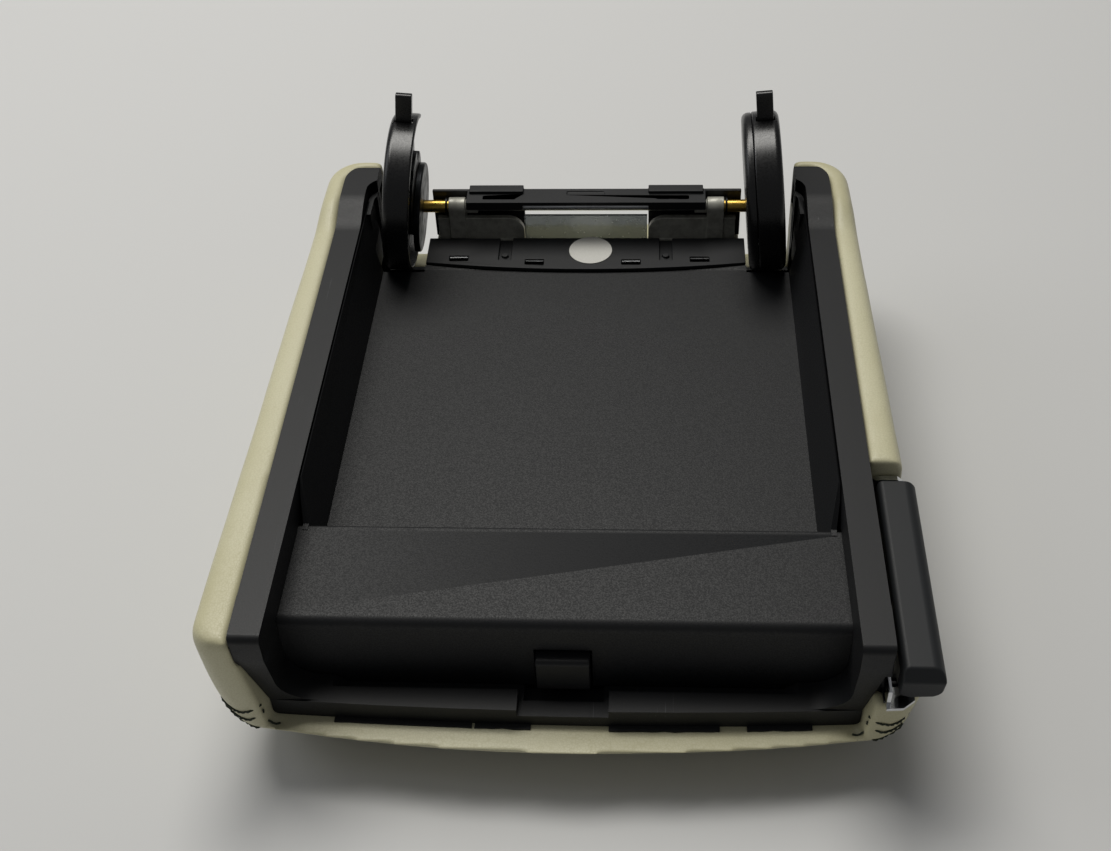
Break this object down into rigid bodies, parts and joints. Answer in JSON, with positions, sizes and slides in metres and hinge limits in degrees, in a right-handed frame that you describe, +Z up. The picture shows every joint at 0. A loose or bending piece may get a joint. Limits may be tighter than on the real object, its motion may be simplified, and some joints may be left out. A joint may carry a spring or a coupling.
{
  "type": "centre console armrest lid",
  "caption": "Padded armrest lid lying upside down: leather-covered cushion, black rim and tub, round hinge ears that swing together, sprung latch hook worked by a side lever.",
  "frame": {"origin": "middle of the flat patch under the cushion, which the lid rests on when it lies upside down", "axes": "+Z up, away from the cushion and towards the rim; +Y towards the hinge end; +X towards the release lever"},
  "size_m": [0.2651, 0.3123, 0.1287],
  "materials": {
    "leather": "aged cream leather, satin",
    "foam": "soft open-cell foam",
    "black_plastic": "fine-grained black plastic",
    "satin_plastic": "satin black plastic",
    "gloss_plastic": "glossy black plastic",
    "label": "white paper label",
    "clear": "clear plastic",
    "steel": "bright steel",
    "dark_steel": "black-coated steel",
    "die_cast": "raw die casting",
    "zinc": "yellow zinc plating",
    "chrome": "bright chrome"
  },
  "bodies": {
    "lid": {"leather_cover": "leather", "foam_pad": "foam", "top_shell": "black_plastic", "rim_frame": "satin_plastic", "tub_panel": "black_plastic", "hinge_cover": "satin_plastic", "rear_bar": "satin_plastic", "round_label": "label", "clear_strip": "clear", "torsion_bar": "steel", "bracket_left": "die_cast", "bracket_right": "die_cast", "pin_left": "zinc", "pin_right": "zinc", "pin_clips": "dark_steel", "latch_bracket": "steel", "latch_pin": "steel", "latch_spring": "steel", "crank_pin": "steel", "lever_axle": "steel", "lever_spring": "steel", "lever_housing": "satin_plastic", "lever_trim_rear": "chrome", "lever_trim_front": "chrome", "panel_screws": "steel", "bracket_screws": "steel", "cover_clips": "steel"},
    "ear_left": {"ear_cover_left": "gloss_plastic", "ear_arm_left": "dark_steel", "spring_case_left": "dark_steel", "hub_disc_left": "dark_steel"},
    "ear_right": {"ear_cover_right": "gloss_plastic", "ear_cap_right": "gloss_plastic", "ear_arm_right": "dark_steel", "spring_case_right": "dark_steel", "hub_disc_right": "dark_steel"},
    "hook": {"latch_hook": "satin_plastic"},
    "crank": {"bell_crank": "steel"},
    "rod": {"push_rod": "steel"},
    "lever": {"release_lever": "satin_plastic", "lever_core": "die_cast"}
  },
  "joints": [
    {"name": "ear_left_swing", "type": "hinge", "parent": "lid", "child": "ear_left", "pos_m": [0, 0.132, 0.067], "axis": [1, 0, 0], "range_deg": [-90, 0]},
    {"name": "ear_right_swing", "type": "hinge", "parent": "lid", "child": "ear_right", "pos_m": [0, 0.132, 0.067], "axis": [1, 0, 0], "range_deg": [-90, 0]},
    {"name": "lever_pull", "type": "hinge", "parent": "lid", "child": "lever", "pos_m": [0.1205, -0.099, 0.05], "axis": [0, 1, 0], "range_deg": [0, 12], "stiffness_Nm_per_rad": 0.8, "springref_deg": -5.73},
    {"name": "rod_slide", "type": "slide", "parent": "lid", "child": "rod", "axis": [1, 0, 0], "range_m": [-0.0023, 0]},
    {"name": "crank_turn", "type": "hinge", "parent": "lid", "child": "crank", "pos_m": [0.016, -0.097, 0.04], "axis": [0, 0, 1], "range_deg": [-10.5, 0]},
    {"name": "hook_turn", "type": "hinge", "parent": "lid", "child": "hook", "pos_m": [0, -0.111, 0.056], "axis": [1, 0, 0], "range_deg": [0, 13], "stiffness_Nm_per_rad": 0.3, "springref_deg": -17.19}
  ],
  "couplings": [
    {"joint": "ear_right_swing", "follows": "ear_left_swing", "ratio": 1},
    {"joint": "rod_slide", "follows": "lever_pull", "m_per_rad": -0.01},
    {"joint": "crank_turn", "follows": "lever_pull", "ratio": -0.8333},
    {"joint": "hook_turn", "follows": "lever_pull", "ratio": 1.05}
  ]
}
